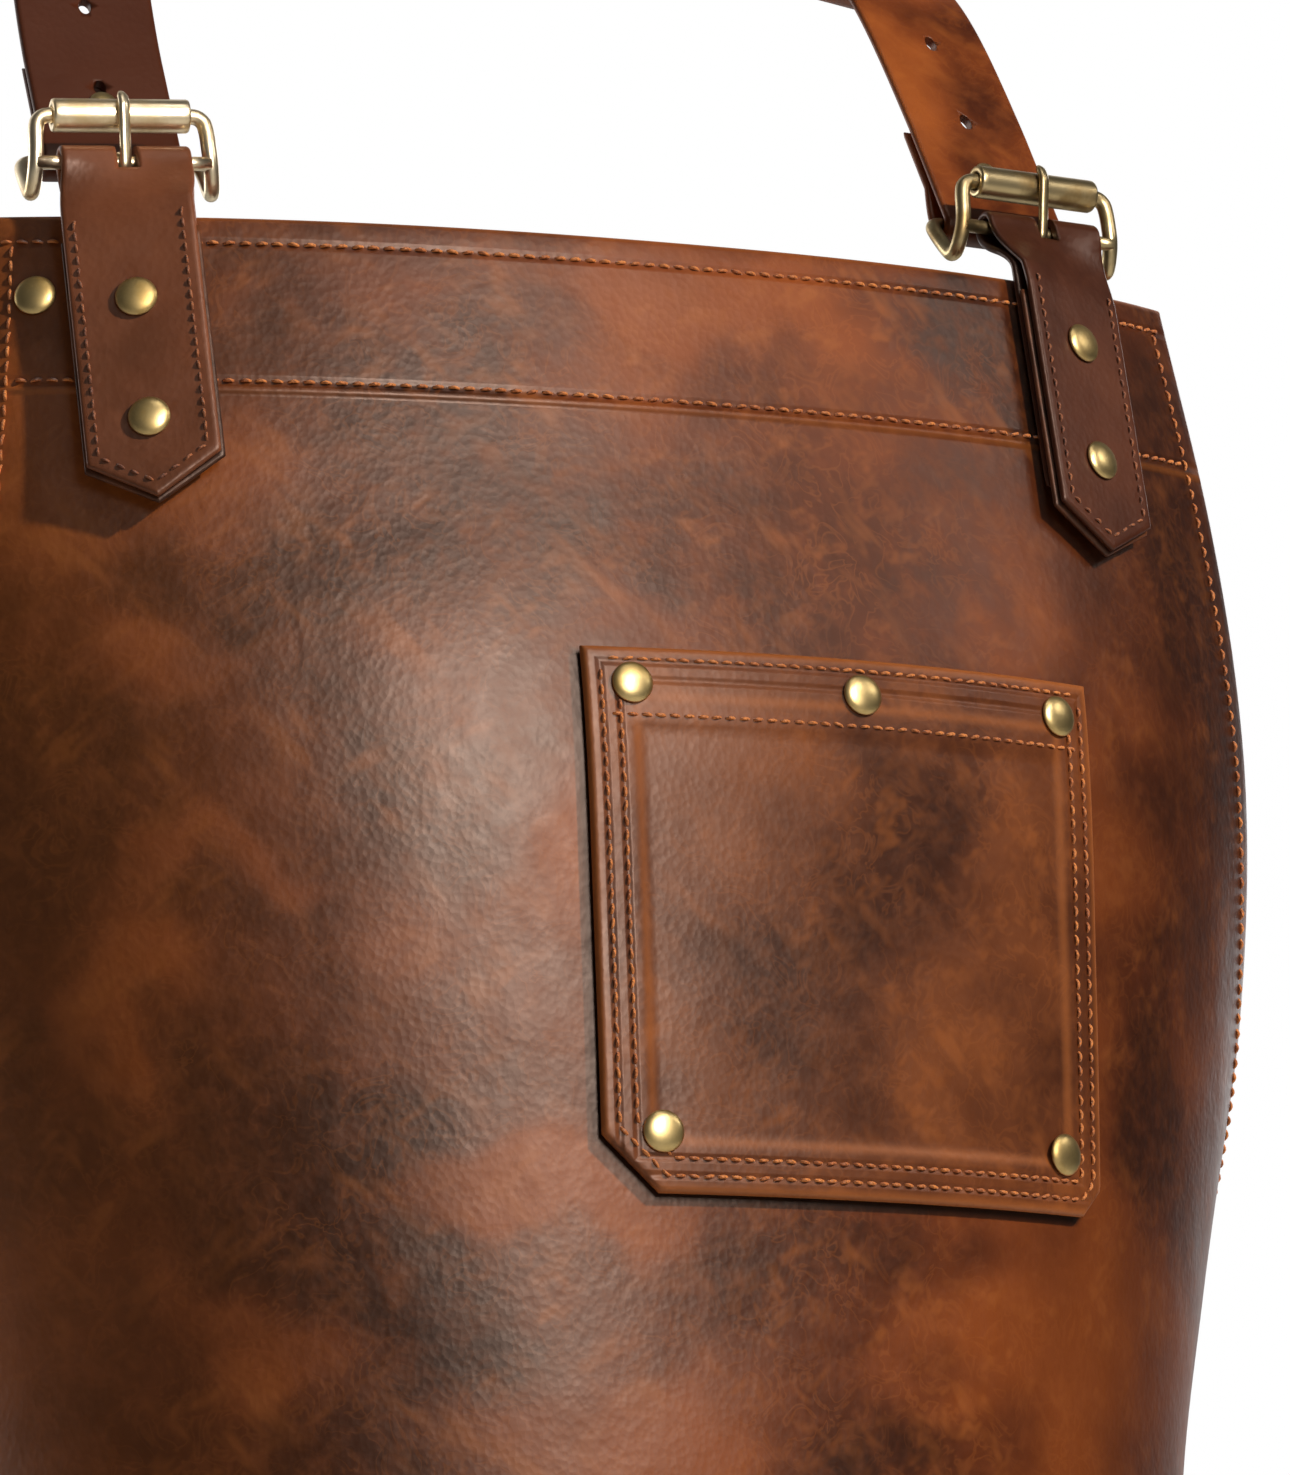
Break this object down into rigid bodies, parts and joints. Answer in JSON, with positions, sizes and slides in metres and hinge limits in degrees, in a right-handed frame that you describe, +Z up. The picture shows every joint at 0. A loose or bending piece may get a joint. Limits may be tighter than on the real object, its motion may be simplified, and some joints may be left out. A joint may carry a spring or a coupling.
{
  "type": "blacksmith apron",
  "caption": "Leather work apron in its worn form: bib and skirt in one hide, riveted breast pocket, and a neck strap hung on roller buckles at riveted, pointed tabs.",
  "frame": {"origin": "midway between the two places where the underside of the strap rests on the shoulders", "axes": "+Z up, -Y the way the front of the apron faces, +X towards the wearer's left"},
  "size_m": [0.404, 0.2877, 1.0297],
  "materials": {
    "hide": "waxed pull-up leather, mottled brown with lighter creases and a soft sheen",
    "tab_leather": "smooth dark brown leather with burnished edges",
    "strap_leather": "smooth tan brown leather with plain burnished edges",
    "brass": "polished antique brass"
  },
  "bodies": {
    "root": {"apron_body": "hide", "pocket": "hide", "tab_left": "tab_leather", "tab_right": "tab_leather", "tab_backing_left": "tab_leather", "tab_backing_right": "tab_leather", "neck_strap": "strap_leather", "buckle_frame_left": "brass", "buckle_frame_right": "brass", "buckle_roller_left": "brass", "buckle_roller_right": "brass", "buckle_prong_left": "brass", "buckle_prong_right": "brass", "rivet_tab_left_1": "brass", "rivet_tab_left_2": "brass", "rivet_tab_right_1": "brass", "rivet_tab_right_2": "brass", "rivet_strap_left": "brass", "rivet_strap_right": "brass", "rivet_pocket_mouth_right": "brass", "rivet_pocket_mouth_middle": "brass", "rivet_pocket_mouth_left": "brass", "rivet_pocket_foot_right": "brass", "rivet_pocket_foot_left": "brass", "rivet_corner": "brass"}
  },
  "joints": []
}
